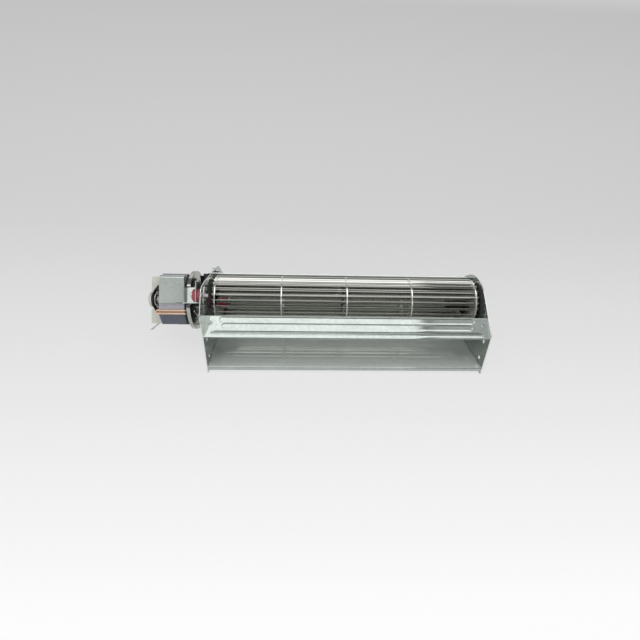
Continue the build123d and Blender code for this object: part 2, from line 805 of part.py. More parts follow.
def place(shape):
    """Moves a solid or a list of solids from the wheel's axis to the outlet lip's frame."""
    shift = Pos(0, -FRONT, -LIP_MIDDLE_Z)
    if isinstance(shape, list):
        return Compound(children=[shift * solid for solid in shape])
    return shift * shape


def both(maker):
    return [tilted(maker(-MOUNT_T)), tilted(maker(MOUNT_T))]


def all_tilted(solids):
    return [tilted(solid) for solid in solids]


parts = {
    "side_plate_left": side_plate_left(),
    "side_plate_right": side_plate_right(),
    "scroll_wall": scroll_wall(),
    "front_plate": front_plate(),
    "front_plate_rivets": front_rivets(),
    "bearing_mount_rubber": bearing_mount_rubber(),
    "bearing_bush_right": bearing_bush_right(),
    "earth_screw": earth_screw(),
    "motor_bracket_front": tilted(motor_bracket_front()),
    "motor_bracket_rear": tilted(motor_bracket_rear()),
    "bracket_rivets": all_tilted(bracket_rivets()),
    "grommets": both(grommet),
    "mount_sleeves": both(mount_sleeve),
    "mount_screws": both(mount_screw),
    "heat_shield": tilted(heat_shield()),
    "shield_rivets": all_tilted(shield_rivets()),
    "stator_stack": tilted(stator_stack()),
    "shading_rings": all_tilted(shading_rings()),
    "coil_core": tilted(coil_core()),
    "coil_bobbin": tilted(coil_bobbin()),
    "coil_winding": tilted(coil_winding()),
    "coil_tape": tilted(coil_tape()),
    "terminal_tabs": all_tilted(terminal_tabs()),
    "bearing_bracket_left": tilted(bearing_bracket_left()),
    "bearing_bracket_right": tilted(bearing_bracket_right()),
    "motor_bush_left": bush(CUP_END_X[0] + 1.2, RETAINER_X),
    "motor_bush_right": bush(RIGHT_BUSH_X, CUP_END_X[1] - 1.1),
    "bush_retainer_left": bush_retainer_left(),
    "bush_retainer_right": bush_retainer_right(),
    "bearing_cap": bearing_cap(),
    "motor_screws": all_tilted(motor_screws()),
    "motor_nuts": all_tilted(motor_nuts()),
    "motor_shaft": motor_shaft(),
    "rotor_core": rotor_core(),
    "rotor_end_rings": rotor_end_rings(),
    "rotor_spacer": rotor_spacer(),
    "thrust_washers": thrust_washers(),
    "cooling_fan": cooling_fan(),
    "fan_clip": fan_clip(),
    "coupling_insert": coupling_insert(),
    "rubber_coupling": rubber_coupling(),
    "blades": blades(),
    "balance_clips": balance_clips(),
    "end_hub": end_hub(),
    "stub_shaft": stub_shaft(),
}

for number, x in enumerate(disc_positions()):
    at_end = number in (0, SPANS)
    name = {0: "end_disc_left", SPANS: "end_disc_right"}.get(number, f"inner_disc_{number}")
    parts[name] = wheel_disc(x, END_DISC_HOLE_R if at_end else DISC_HOLE_R)

for name, shape in parts.items():
    export_step(place(shape), f"parts/{name}.step")
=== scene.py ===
import json
import math

import bmesh
import bpy
from mathutils import Matrix, Vector

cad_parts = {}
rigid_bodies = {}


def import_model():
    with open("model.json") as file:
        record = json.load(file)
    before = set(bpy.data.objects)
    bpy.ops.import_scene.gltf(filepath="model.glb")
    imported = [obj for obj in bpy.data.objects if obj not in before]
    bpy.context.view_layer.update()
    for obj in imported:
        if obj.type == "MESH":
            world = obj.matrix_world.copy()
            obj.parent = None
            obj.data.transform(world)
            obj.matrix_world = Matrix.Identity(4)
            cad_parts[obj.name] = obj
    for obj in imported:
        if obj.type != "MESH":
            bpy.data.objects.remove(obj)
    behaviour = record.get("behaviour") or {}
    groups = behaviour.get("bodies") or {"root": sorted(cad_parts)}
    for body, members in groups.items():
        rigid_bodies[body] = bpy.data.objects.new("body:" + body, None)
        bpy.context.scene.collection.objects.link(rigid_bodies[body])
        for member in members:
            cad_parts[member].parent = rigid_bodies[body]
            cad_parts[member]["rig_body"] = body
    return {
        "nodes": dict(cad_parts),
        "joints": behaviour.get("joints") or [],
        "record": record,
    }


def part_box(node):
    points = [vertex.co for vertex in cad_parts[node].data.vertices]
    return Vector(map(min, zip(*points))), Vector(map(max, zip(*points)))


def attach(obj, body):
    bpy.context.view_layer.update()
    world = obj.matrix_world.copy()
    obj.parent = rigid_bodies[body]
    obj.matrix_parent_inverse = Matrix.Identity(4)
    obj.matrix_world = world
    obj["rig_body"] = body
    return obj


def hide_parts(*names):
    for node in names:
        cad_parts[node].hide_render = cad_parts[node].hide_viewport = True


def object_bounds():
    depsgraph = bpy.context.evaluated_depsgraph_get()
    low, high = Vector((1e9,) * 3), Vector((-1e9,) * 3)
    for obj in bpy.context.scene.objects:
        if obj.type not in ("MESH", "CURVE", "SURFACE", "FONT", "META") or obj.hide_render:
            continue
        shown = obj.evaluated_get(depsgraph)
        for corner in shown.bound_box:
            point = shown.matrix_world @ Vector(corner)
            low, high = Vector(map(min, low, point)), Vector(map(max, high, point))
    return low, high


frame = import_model()
CAD_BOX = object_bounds()

bl_info = {
    "name": "Cross Flow Fan Dressing",
    "version": (1, 0, 0),
    "blender": (4, 5, 0),
    "location": "View3D > Sidebar > Fan",
    "description": "Finishes and fine pieces for a cross flow fan built round its solids",
    "category": "Object",
}

MM = 0.001
AXIS = Vector(frame["joints"][0]["pos_m"])
FLOOR_Z = CAD_BOX[0].z
SLOTS = {part["node"]: part["material_slot"] for part in frame["record"]["subparts"]}
WELD = 0.001 * MM                   # loose corners closer than this are one
FLAT = math.radians(0.05)           # faces that lean less than this are one

# The wheel's blades
BLADES = 26
BLADE_T = 0.5 * MM
BLADE_INNER_R = 23.2 * MM
BLADE_OUTER_R = 29.3 * MM
BLADE_OUTER_ANGLE = math.radians(28)

# The housing's sheets
PLATE_OUT_X = -156.0 * MM           # outer face of the left side plate
SIDE_SHEET = 1.0 * MM               # thickness of the side plates
LIP_TOP = -50.05 * MM               # top of the outlet lip, below the wheel's axis

# The motor in millimetres, tilted about the shaft: t runs from the closed end to the coil, and
# w across it
MOTOR_TILT = math.radians(-30)
MOUNTS = ((-54.0, 2.0), (54.0, 2.0))
SHADE_HOLES = ((-12.9, -11.6), (-9.8, -14.7))       # where a pole's two rings pass, as (t, w)
SHADE_OUT_W = (-13.7, -16.9)                        # where the rings run outside the frame
SHADE_FACE_T = {1: 29.0, -1: 19.0}                  # the frame's edge beside each pole
SHADE_WIRE_R = 1.1
SHADE_BEND_R = 1.8

# Screws: radius and length of the thread
MOUNT_THREAD = (1.95 * MM, 5.0 * MM)
EARTH_THREAD = (1.5 * MM, 4.6 * MM)
EARTH_SCREW = (20.0 * MM, 29.5 * MM)
THREAD_DEPTH = 0.2                  # in pitches
SHEET_SHARE = 0.94                  # of the pitch that one lamination fills

# Rounding of the edges, and the angle past which an edge stays sharp
BRACKET_ROUNDS = 1.5                # in sheet edges
DISC_ROUND = 0.2 * MM
CLIP_ROUND = 0.08 * MM
SCREW_ROUND = 0.25 * MM
SMALL_ROUND = 0.1 * MM
ROUND_FROM = math.radians(48)       # edges that bend less than this aren't rounded
SHARP_BLADE = math.radians(50)
SHARP_SHEET = math.radians(30)
SHARP_WIRE = math.radians(40)
SHARP_THREAD = math.radians(20)

# Nodes whose sheet looks unlike the rest of their slot
OWN_FINISH = {
    # The scroll wall takes a paler copy of the galvanised sheet as painted light, the heat shield
    # a darker copy as painted shade
    "scroll_wall": "brightened_zinc", "heat_shield": "shaded_zinc",
    **{name: "punched_aluminium" for name in SLOTS if "disc" in name},
}
MATERIALS = {}

# The camera, matched to the photograph's viewpoint
CAMERA_PLACE = Vector((-49.6, -345.0, 263.05)) * MM
CAMERA_FORWARD = Vector((0.0434, 0.8652, -0.4995))
CAMERA_UP = Vector((-0.0104, 0.5004, 0.8658))
CAMERA_LENS, CAMERA_SENSOR = 21.375, 36.0
CAMERA_NEAR = 0.01

# Soft boxes in metres: place, target, width and depth, brightness, and whether metal mirrors
# them. Where the brightness is None, the overhead setting gives it.
SOFT_BOXES = {
    "overhead_rear": ((0.2, -0.12, 0.9), (0.2, -0.12, 0.0), (1.9, 0.3), None, True),
    "overhead_front": ((-0.18, -0.46, 0.9), (-0.18, -0.46, 0.0), (1.12, 0.38), None, True),
    "overhead_right": ((0.84, -0.46, 0.9), (0.84, -0.46, 0.0), (0.84, 0.38), 0.4, True),
    "front_panel": ((-0.35, -1.3, 0.81), (-0.35, 0.0, 0.81), (1.9, 0.66), 0.68, True),
    "duct_fill": ((0.1, -0.87, 0.33), (0.1, 0.0, 0.0), (1.8, 0.45), 3.5, False),
    "left_box": ((-1.3, -0.45, 0.45), (0.0, 0.0, 0.1), (1.0, 0.9), 1.5, True),
}
GLOSSY_BOUNCES, ALL_BOUNCES = 12, 16

# The floor in metres, and its greys by how far back and up they lie
FLOOR_HALF, FLOOR_FRONT, FLOOR_BACK = 1.35, -0.75, 1.1
WALL_HEIGHT, WALL_BEND, BEND_STEPS = 1.9, 0.5, 24
PAPER_FROM, PAPER_LENGTH = -0.3, 2.4
PAPER_GREYS = (
    (-0.24, "#FEFEFE"), (-0.19, "#F6F6F6"), (-0.07, "#EBEBEB"), (0.07, "#E4E4E4"),
    (0.32, "#DDDDDD"), (0.56, "#D9D9D9"), (0.84, "#D5D5D5"), (1.18, "#D1D1D1"),
    (1.45, "#CBCBCB"), (1.62, "#C4C4C4"), (1.85, "#FFFFFF"),
)
PAPER_GLOW = 0.85                   # the share of the paper that no lamp lights


# Colours and node helpers


def linear(hex_colour):
    """An sRGB hex value as linear red, green, blue and full alpha."""
    channels = []
    for i in (1, 3, 5):
        c = int(hex_colour[i:i + 2], 16) / 255
        channels.append(c / 12.92 if c <= 0.04045 else ((c + 0.055) / 1.055) ** 2.4)
    return (*channels, 1.0)


def tone(colour, share):
    """A darker shade of a linear colour."""
    return (*(channel * share for channel in colour[:3]), 1.0)


def add(tree, kind, inputs=None, stops=(), **settings):
    """Adds a node with its settings, its inputs and the stops of a colour ramp.

    An input is a value, or another node's output, which is then linked to it.
    """
    made = tree.nodes.new(kind)
    for name, value in settings.items():
        setattr(made, name, value)
    for key, value in (inputs or {}).items():
        if isinstance(value, bpy.types.NodeSocket):
            tree.links.new(value, made.inputs[key])
        else:
            made.inputs[key].default_value = value
    while stops and len(made.color_ramp.elements) < len(stops):
        made.color_ramp.elements.new(0.5)
    for i, (position, colour) in enumerate(stops):
        made.color_ramp.elements[i].position = position
        made.color_ramp.elements[i].color = colour
    return made


def new_material(name):
    """A material with an empty tree."""
    made = bpy.data.materials.new(name)
    made.use_nodes = True
    made.node_tree.nodes.clear()
    return made


def close_material(made, inputs):
    """Ends a material in one shader with these inputs."""
    shader = add(made.node_tree, "ShaderNodeBsdfPrincipled", inputs)
    add(made.node_tree, "ShaderNodeOutputMaterial", {"Surface": shader.outputs["BSDF"]})
    return made


def in_grains(tree, x_mm, y_mm, z_mm):
    """Object coordinates counted in grains of this size in millimetres along each axis."""
    place = add(tree, "ShaderNodeTexCoord")
    scale = [1 / (size * MM) for size in (x_mm, y_mm, z_mm)]
    return add(
        tree, "ShaderNodeMapping", {"Vector": place.outputs["Object"], "Scale": scale}
    ).outputs["Vector"]


# Materials


def galvanised_sheet(name, dark, light, roughness=0.09, metallic=0.85):
    """Hot dip galvanised steel, rolled: faint 3 mm spangle and long rolling streaks."""
    made = new_material(name)
    tree = made.node_tree
    spangle = add(tree, "ShaderNodeTexVoronoi", {
        "Vector": in_grains(tree, 3.0, 3.0, 3.0), "Scale": 1.0, "Randomness": 1.0,
    })
    streaks = add(tree, "ShaderNodeTexNoise", {
        "Vector": in_grains(tree, 167.0, 2.38, 2.38), "Scale": 1.0, "Detail": 3.0,
    })
    cloud = add(tree, "ShaderNodeTexNoise", {
        "Vector": in_grains(tree, 35.7, 25.0, 25.0), "Scale": 1.0, "Detail": 4.0,
    })
    grey = add(tree, "ShaderNodeSeparateColor", {"Color": spangle.outputs["Color"]})
    mottle = add(
        tree, "ShaderNodeMix",
        {"Factor": 0.8, "A": grey.outputs["Red"], "B": cloud.outputs["Fac"]},
        data_type="FLOAT",
    )
    colour = add(
        tree, "ShaderNodeValToRGB", {"Fac": mottle.outputs["Result"]},
        stops=((0.2, dark), (0.75, light)),
    )
    rough = add(tree, "ShaderNodeMapRange", {
        "Value": cloud.outputs["Fac"], "To Min": roughness - 0.03, "To Max": roughness + 0.03,
    })
    relief = add(tree, "ShaderNodeBump", {
        "Height": streaks.outputs["Fac"], "Strength": 0.02, "Distance": 0.1 * MM,
    })
    return close_material(made, {
        "Base Color": colour.outputs["Color"], "Metallic": metallic,
        "Roughness": rough.outputs["Result"], "Normal": relief.outputs["Normal"],
    })


def mill_aluminium(name, dark, light, roughness, metallic=1.0):
    """Mill finish aluminium strip: bright, with fine lines along the rolling direction."""
    made = new_material(name)
    tree = made.node_tree
    # The real lines are finer than 0.1 mm. These are 1.1 mm apart, so that they show
    lines = add(tree, "ShaderNodeTexNoise", {
        "Vector": in_grains(tree, 111.0, 1.11, 1.11), "Scale": 1.0, "Detail": 3.0,
    }).outputs["Fac"]
    colour = add(
        tree, "ShaderNodeValToRGB", {"Fac": lines}, stops=((0.3, dark), (0.7, light))
    )
    rough = add(tree, "ShaderNodeMapRange", {
        "Value": lines, "To Min": roughness - 0.03, "To Max": roughness + 0.03,
    })
    relief = add(tree, "ShaderNodeBump", {
        "Height": lines, "Strength": 0.02, "Distance": 0.05 * MM,
    })
    return close_material(made, {
        "Base Color": colour.outputs["Color"], "Metallic": metallic,
        "Roughness": rough.outputs["Result"], "Normal": relief.outputs["Normal"],
    })


def laminated_steel():
    """Stamped electrical steel, matt and grained, with painted shade in blue grey where it faces
    down.
    """
    made = new_material("laminated_steel")
    tree = made.node_tree
    grain = add(tree, "ShaderNodeTexNoise", {
        "Vector": in_grains(tree, 3.33, 6.25, 6.25), "Scale": 1.0, "Detail": 3.0,
    }).outputs["Fac"]
    steel = add(
        tree, "ShaderNodeValToRGB", {"Fac": grain},
        stops=((0.25, linear("#84848A")), (0.75, linear("#98989E"))),
    )
    # Painted shade: faces that turn downwards are multiplied by blue grey
    facing = add(tree, "ShaderNodeTexCoord").outputs["Normal"]
    height = add(tree, "ShaderNodeSeparateXYZ", {"Vector": facing}).outputs["Z"]
    facing_down_shade = add(
        tree, "ShaderNodeMapRange", {"Value": height, "From Min": 0.1, "From Max": -0.15}
    )
    colour = add(
        tree, "ShaderNodeMix",
        {"Factor": facing_down_shade.outputs["Result"], "A": steel.outputs["Color"], "B": linear("#969DA6")},
        data_type="RGBA", blend_type="MULTIPLY",
    )
    rough = add(tree, "ShaderNodeMapRange", {"Value": grain, "To Min": 0.36, "To Max": 0.48})
    return close_material(made, {
        "Base Color": colour.outputs["Result"], "Metallic": 0.3,
        "Roughness": rough.outputs["Result"],
    })


def drawn_metal(name, dark, light, rough_low, rough_high, grain_mm=0.4):
    """A bright drawn or plated metal with a fine even grain."""
    made = new_material(name)
    tree = made.node_tree
    grain = add(tree, "ShaderNodeTexNoise", {
        "Vector": in_grains(tree, grain_mm, grain_mm, grain_mm), "Scale": 1.0, "Detail": 4.0,
    }).outputs["Fac"]
    colour = add(
        tree, "ShaderNodeValToRGB", {"Fac": grain}, stops=((0.3, dark), (0.7, light))
    )
    rough = add(tree, "ShaderNodeMapRange", {
        "Value": grain, "To Min": rough_low, "To Max": rough_high,
    })
    relief = add(tree, "ShaderNodeBump", {
        "Height": grain, "Strength": 0.08, "Distance": 0.05 * MM,
    })
    return close_material(made, {
        "Base Color": colour.outputs["Color"], "Metallic": 1.0,
        "Roughness": rough.outputs["Result"], "Normal": relief.outputs["Normal"],
    })


def moulded(name, dark, light, roughness):
    """A moulded plastic or rubber: one colour that drifts a little over a 0.5 mm grain."""
    made = new_material(name)
    tree = made.node_tree
    grain = add(tree, "ShaderNodeTexNoise", {
        "Vector": in_grains(tree, 0.5, 0.5, 0.5), "Scale": 1.0, "Detail": 4.0,
    }).outputs["Fac"]
    drift = add(tree, "ShaderNodeTexNoise", {
        "Vector": in_grains(tree, 11.1, 11.1, 11.1), "Scale": 1.0, "Detail": 2.0,
    }).outputs["Fac"]
    colour = add(
        tree, "ShaderNodeValToRGB", {"Fac": drift}, stops=((0.3, dark), (0.7, light))
    )
    rough = add(tree, "ShaderNodeMapRange", {
        "Value": grain, "To Min": roughness - 0.06, "To Max": roughness + 0.08,
    })
    relief = add(tree, "ShaderNodeBump", {
        "Height": grain, "Strength": 0.2, "Distance": 0.06 * MM,
    })
    return close_material(made, {
        "Base Color": colour.outputs["Color"], "Roughness": rough.outputs["Result"],
        "Normal": relief.outputs["Normal"],
    })


def wrapped_tape():
    """Pale polyester tape, slightly glossy, whose overlaps show as ridges 5 mm apart."""
    made = new_material("wrapped_tape")
    tree = made.node_tree
    # The wave texture has a ridge every 0.314 of its units
    wraps = add(
        tree, "ShaderNodeTexWave",
        {"Vector": in_grains(tree, 16.7, 16.7, 11.1), "Scale": 1.0, "Distortion": 0.6,
         "Detail": 1.0},
        wave_profile="SAW",
    ).outputs["Fac"]
    colour = add(
        tree, "ShaderNodeValToRGB", {"Fac": wraps},
        stops=((0.0, linear("#B5B19E")), (1.0, linear("#D0CEC0"))),
    )
    relief = add(tree, "ShaderNodeBump", {
        "Height": wraps, "Strength": 0.3, "Distance": 0.2 * MM,
    })
    return close_material(made, {
        "Base Color": colour.outputs["Color"], "Roughness": 0.4, "Coat Weight": 0.2,
        "Normal": relief.outputs["Normal"],
    })


def make_materials(colours):
    """Every finish of the fan, by the record's slot name or the name in OWN_FINISH."""
    sheet, strip = tuple(colours.sheet), tuple(colours.strip)
    copper, rubber = tuple(colours.copper), tuple(colours.rubber)
    pale_sheet = linear("#E6ECE8")
    MATERIALS.update({
        # Smooth rolled zinc mirrors the room softly, with a cool green cast
        "galvanised": galvanised_sheet("galvanised_sheet", tone(sheet, 0.78), sheet),
        # A darker, warmer copy of the galvanised sheet: painted shade for the dark room that the
        # heat shield mirrors
        "shaded_zinc": galvanised_sheet("shaded_zinc_sheet", linear("#A2A49E"), linear("#B8BAB4"),
                                      0.12, 0.95),
        # A paler copy of the galvanised sheet, half of what it shows its own pale grey: painted
        # light, so that the duct and the front plate's slope read brighter
        "brightened_zinc": galvanised_sheet("brightened_galvanised_sheet", tone(pale_sheet, 0.86), pale_sheet, 0.06,
                                      0.42),
        # A sheared edge has no zinc and scatters light; its finish is whiter than the sheet,
        # partly a painted highlight, so that it reads as a bright line
        "cut_edge_highlight": drawn_metal("sheared_edge_highlight", linear("#D4D8D4"), linear("#F0F2F0"),
                                0.3, 0.4),
        # The blades' strip is bright from the mill, and almost a mirror across its lines
        "aluminium": mill_aluminium("mill_aluminium", tone(strip, 0.75), strip, 0.07),
        # The discs' punched rims are whiter and softer than their faces; the whole disc takes the
        # rims' finish
        "punched_aluminium": mill_aluminium("punched_aluminium", linear("#DCDCD8"),
                                            linear("#F4F4F0"), 0.2, 0.8),
        "lamination_steel": laminated_steel(),
        # Bright zinc plate on screws, nuts and rivets
        "zinc_steel": drawn_metal("bright_zinc", linear("#B4B5B8"), linear("#DADBDD"),
                                  0.2, 0.34),
        # A ground shaft is the smoothest piece, with a grain too fine to see
        "ground_steel": drawn_metal("ground_steel", linear("#9A9A9A"), linear("#C6C6C4"),
                                    0.14, 0.26, 0.2),
        # Oiled bronze powder, pressed: brown and matt
        "sintered_bronze": drawn_metal("sintered_bronze", linear("#6E5030"),
                                       linear("#9A7448"), 0.45, 0.6),
        # Bare drawn copper wire, salmon pink with soft highlights
        "copper": drawn_metal("drawn_copper", tone(copper, 0.7), copper, 0.3, 0.42),
        # Black stoved paint on pressed steel: half gloss
        "black_steel": moulded("black_coated_steel", linear("#0B0B0C"), linear("#151517"),
                               0.38),
        # Glass filled nylon moulds black and nearly matt
        "black_plastic": moulded("glass_filled_nylon", linear("#08080A"), linear("#121214"),
                                 0.48),
        # Black rubber is matt and faintly blue
        "black_rubber": moulded("moulded_rubber", linear("#060709"), linear("#0E0F12"), 0.55),
        # Silicone rubber keeps a soft sheen, in a deep red
        "red_rubber": moulded("silicone_rubber", tone(rubber, 0.65), rubber, 0.42),
        # Natural nylon is an off white with a soft gloss
        "nylon": moulded("natural_nylon", linear("#A6A69E"), linear("#BABAB3"), 0.42),
        "insulating_tape": wrapped_tape(),
    })


# Pieces and how they join the frame


def finish_of(node):
    """The material of a node: a finish of its own, or that of its slot."""
    return MATERIALS[OWN_FINISH.get(node, SLOTS[node])]


def refinish(made, finish, chosen):
    """Gives the chosen faces a finish of their own."""
    made.data.materials.append(MATERIALS[finish])
    for face in made.data.polygons:
        if chosen(face):
            face.material_index = 1


def finish_node(node):
    """Gives a solid that stays in view its finish."""
    solid = frame["nodes"][node]
    solid.data.materials.clear()
    solid.data.materials.append(finish_of(node))


def new_object(name, mesh):
    """A new object in the scene, at the origin."""
    made = bpy.data.objects.new(name, mesh)
    bpy.context.scene.collection.objects.link(made)
    return made


def baked(made, smooth_angle=None):
    """The object with its modifiers turned into plain mesh."""
    graph = bpy.context.evaluated_depsgraph_get()
    mesh = bpy.data.meshes.new_from_object(made.evaluated_get(graph), depsgraph=graph)
    mesh.name = made.name
    made.modifiers.clear()
    made.data = mesh
    if smooth_angle is not None:
        mesh.shade_smooth()
        mesh.set_sharp_from_angle(angle=smooth_angle)
    return made


def joins(made, *nodes, body=None):
    """The piece rides with the body of the solids that it stands for, and hides them."""
    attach(made, body or frame["nodes"][nodes[0]]["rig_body"])
    if nodes:
        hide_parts(*nodes)
    return made


def merged_copy(node):
    """A copy of a solid's mesh with its loose triangles joined and its flat faces whole."""
    mesh = frame["nodes"][node].data.copy()
    if "custom_normal" in mesh.attributes:
        mesh.attributes.remove(mesh.attributes["custom_normal"])
    edit = bmesh.new()
    edit.from_mesh(mesh)
    bmesh.ops.remove_doubles(edit, verts=edit.verts, dist=WELD)
    bmesh.ops.dissolve_limit(edit, angle_limit=FLAT, verts=edit.verts, edges=edit.edges)
    edit.to_mesh(mesh)
    edit.free()
    mesh.materials.clear()
    mesh.materials.append(finish_of(node))
    return mesh


def rounded(node, width, segments=2):
    """A solid with its edges rounded, in its place."""
    mesh = merged_copy(node)
    mesh.shade_smooth()
    made = new_object(f"{node}_rounded", mesh)
    bevel = made.modifiers.new("edges", "BEVEL")
    bevel.width = width
    bevel.segments = segments
    bevel.limit_method = "ANGLE"
    bevel.angle_limit = ROUND_FROM
    bevel.use_clamp_overlap = False
    normals = made.modifiers.new("normals", "WEIGHTED_NORMAL")
    normals.weight = 100
    normals.keep_sharp = True
    return joins(baked(made), node)


# Geometry Nodes trees


def new_tree(name, inputs):
    """A geometry tree with a geometry input and the named inputs, and its input sockets."""
    tree = bpy.data.node_groups.new(name, "GeometryNodeTree")
    geometry = "NodeSocketGeometry"
    tree.interface.new_socket("Geometry", in_out="INPUT", socket_type=geometry)
    for label, kind in inputs.items():
        tree.interface.new_socket(label, in_out="INPUT", socket_type=f"NodeSocket{kind}")
    tree.interface.new_socket("Geometry", in_out="OUTPUT", socket_type=geometry)
    return tree, tree.nodes.new("NodeGroupInput").outputs


def close_tree(tree, geometry, material):
    """Ends a tree in real geometry with its material."""
    real = add(tree, "GeometryNodeRealizeInstances", {"Geometry": geometry})
    painted = add(
        tree, "GeometryNodeSetMaterial",
        {"Geometry": real.outputs["Geometry"], "Material": material},
    )
    add(tree, "NodeGroupOutput", {0: painted.outputs["Geometry"]})
    return tree


def grown(name, mesh, tree, smooth_angle=None, **values):
    """The plain mesh that a tree makes from a mesh, with the tree's inputs by name."""
    made = new_object(name, mesh)
    modifier = made.modifiers.new("tree", "NODES")
    modifier.node_group = tree
    for item in tree.interface.items_tree:
        if item.in_out == "INPUT" and item.name in values:
            modifier[item.identifier] = values[item.name]
    return baked(made, smooth_angle)


def round_copies_tree():
    """Copies of a piece evenly round the wheel's axis."""
    tree, given = new_tree(
        "round_copies", {"Centre": "Vector", "Count": "Int", "Phase": "Float",
                         "Material": "Material"}
    )
    points = add(
        tree, "GeometryNodePoints", {"Count": given["Count"], "Position": given["Centre"]}
    )
    index = add(tree, "GeometryNodeInputIndex").outputs["Index"]
    place = add(tree, "ShaderNodeMath", {0: index, 1: given["Phase"]}, operation="ADD")
    step = add(tree, "ShaderNodeMath", {0: math.tau, 1: given["Count"]}, operation="DIVIDE")
    turn = add(
        tree, "ShaderNodeMath", {0: place.outputs[0], 1: step.outputs[0]}, operation="MULTIPLY"
    )
    euler = add(tree, "ShaderNodeCombineXYZ", {"X": turn.outputs[0]})
    copies = add(tree, "GeometryNodeInstanceOnPoints", {
        "Points": points.outputs[0], "Instance": given["Geometry"],
        "Rotation": euler.outputs["Vector"],
    })
    return close_tree(tree, copies.outputs["Instances"], given["Material"])


def sheet_stack_tree():
    """Stamped sheets, each a little thinner than the pitch, one behind the other along X."""
    tree, given = new_tree(
        "sheet_stack", {"Count": "Int", "Pitch": "Float", "Thickness": "Float",
                        "Material": "Material"}
    )
    depth = add(tree, "ShaderNodeCombineXYZ", {"X": given["Thickness"]})
    raised = add(tree, "GeometryNodeExtrudeMesh", {
        "Mesh": given["Geometry"], "Offset": depth.outputs["Vector"], "Individual": False,
    })
    back = add(tree, "GeometryNodeFlipFaces", {"Mesh": given["Geometry"]})
    whole = add(tree, "GeometryNodeJoinGeometry")
    tree.links.new(raised.outputs["Mesh"], whole.inputs[0])
    tree.links.new(back.outputs["Mesh"], whole.inputs[0])
    sheet = add(
        tree, "GeometryNodeMergeByDistance",
        {"Geometry": whole.outputs["Geometry"], "Distance": WELD},
    )
    offset = add(tree, "ShaderNodeCombineXYZ", {"X": given["Pitch"]})
    line = add(
        tree, "GeometryNodeMeshLine",
        {"Count": given["Count"], "Offset": offset.outputs["Vector"]},
    )
    copies = add(
        tree, "GeometryNodeInstanceOnPoints",
        {"Points": line.outputs["Mesh"], "Instance": sheet.outputs["Geometry"]},
    )
    return close_tree(tree, copies.outputs["Instances"], given["Material"])


def bent_wire_tree():
    """Round wire along the edges of a mesh, with rounded corners."""
    tree, given = new_tree(
        "bent_wire", {"Wire radius": "Float", "Bend radius": "Float", "Material": "Material"}
    )
    path = add(tree, "GeometryNodeMeshToCurve", {"Mesh": given["Geometry"]})
    bent = add(
        tree, "GeometryNodeFilletCurve",
        {"Curve": path.outputs["Curve"], "Radius": given["Bend radius"], "Count": 6},
        mode="POLY",
    )
    section = add(
        tree, "GeometryNodeCurvePrimitiveCircle",
        {"Resolution": 20, "Radius": given["Wire radius"]},
    )
    wire = add(tree, "GeometryNodeCurveToMesh", {
        "Curve": bent.outputs["Curve"], "Profile Curve": section.outputs["Curve"],
        "Fill Caps": True,
    })
    return close_tree(tree, wire.outputs["Mesh"], given["Material"])


def thread_tree():
    """A screw thread along X from every point of a mesh."""
    tree, given = new_tree(
        "thread", {"Radius": "Float", "Pitch": "Float", "Turns": "Float", "Depth": "Float",
                   "Material": "Material"}
    )
    length = add(
        tree, "ShaderNodeMath", {0: given["Pitch"], 1: given["Turns"]}, operation="MULTIPLY"
    )
    helix = add(tree, "GeometryNodeCurveSpiral", {
        "Resolution": 20, "Rotations": given["Turns"], "Start Radius": given["Radius"],
        "End Radius": given["Radius"], "Height": length.outputs[0],
    })
    crest = add(
        tree, "GeometryNodeCurvePrimitiveCircle", {"Resolution": 4, "Radius": given["Depth"]}
    )
    ridge = add(tree, "GeometryNodeCurveToMesh", {
        "Curve": helix.outputs["Curve"], "Profile Curve": crest.outputs["Curve"],
        "Fill Caps": True,
    })
    copies = add(tree, "GeometryNodeInstanceOnPoints", {
        "Points": given["Geometry"], "Instance": ridge.outputs["Mesh"],
        "Rotation": (0.0, math.pi / 2, 0.0),
    })
    return close_tree(tree, copies.outputs["Instances"], given["Material"])


# Shapes


def mesh_of(name, verts, faces=(), edges=()):
    """A plain mesh from its points, faces and loose edges."""
    mesh = bpy.data.meshes.new(name)
    mesh.from_pydata([tuple(v) for v in verts], list(edges), list(faces))
    return mesh


def lofted(name, sections):
    """A closed skin over sections that all have as many points."""
    count = len(sections[0])
    verts = [point for section in sections for point in section]
    faces = []
    for row in range(len(sections) - 1):
        for i in range(count):
            j = (i + 1) % count
            a, b = row * count, (row + 1) * count
            faces.append((a + i, b + i, b + j, a + j))
    faces.append(tuple(range(count)))
    last = (len(sections) - 1) * count
    faces.append(tuple(reversed(range(last, last + count))))
    mesh = mesh_of(name, verts, faces)
    edit = bmesh.new()
    edit.from_mesh(mesh)
    bmesh.ops.recalc_face_normals(edit, faces=edit.faces)
    edit.to_mesh(mesh)
    edit.free()
    return mesh


def from_motor(x, t, w):
    """A point of the motor's own section, in millimetres, in the fan's frame."""
    c, s = math.cos(MOTOR_TILT), math.sin(MOTOR_TILT)
    return Vector((x * MM, (t * c - w * s) * MM + AXIS.y, (t * s + w * c) * MM + AXIS.z))


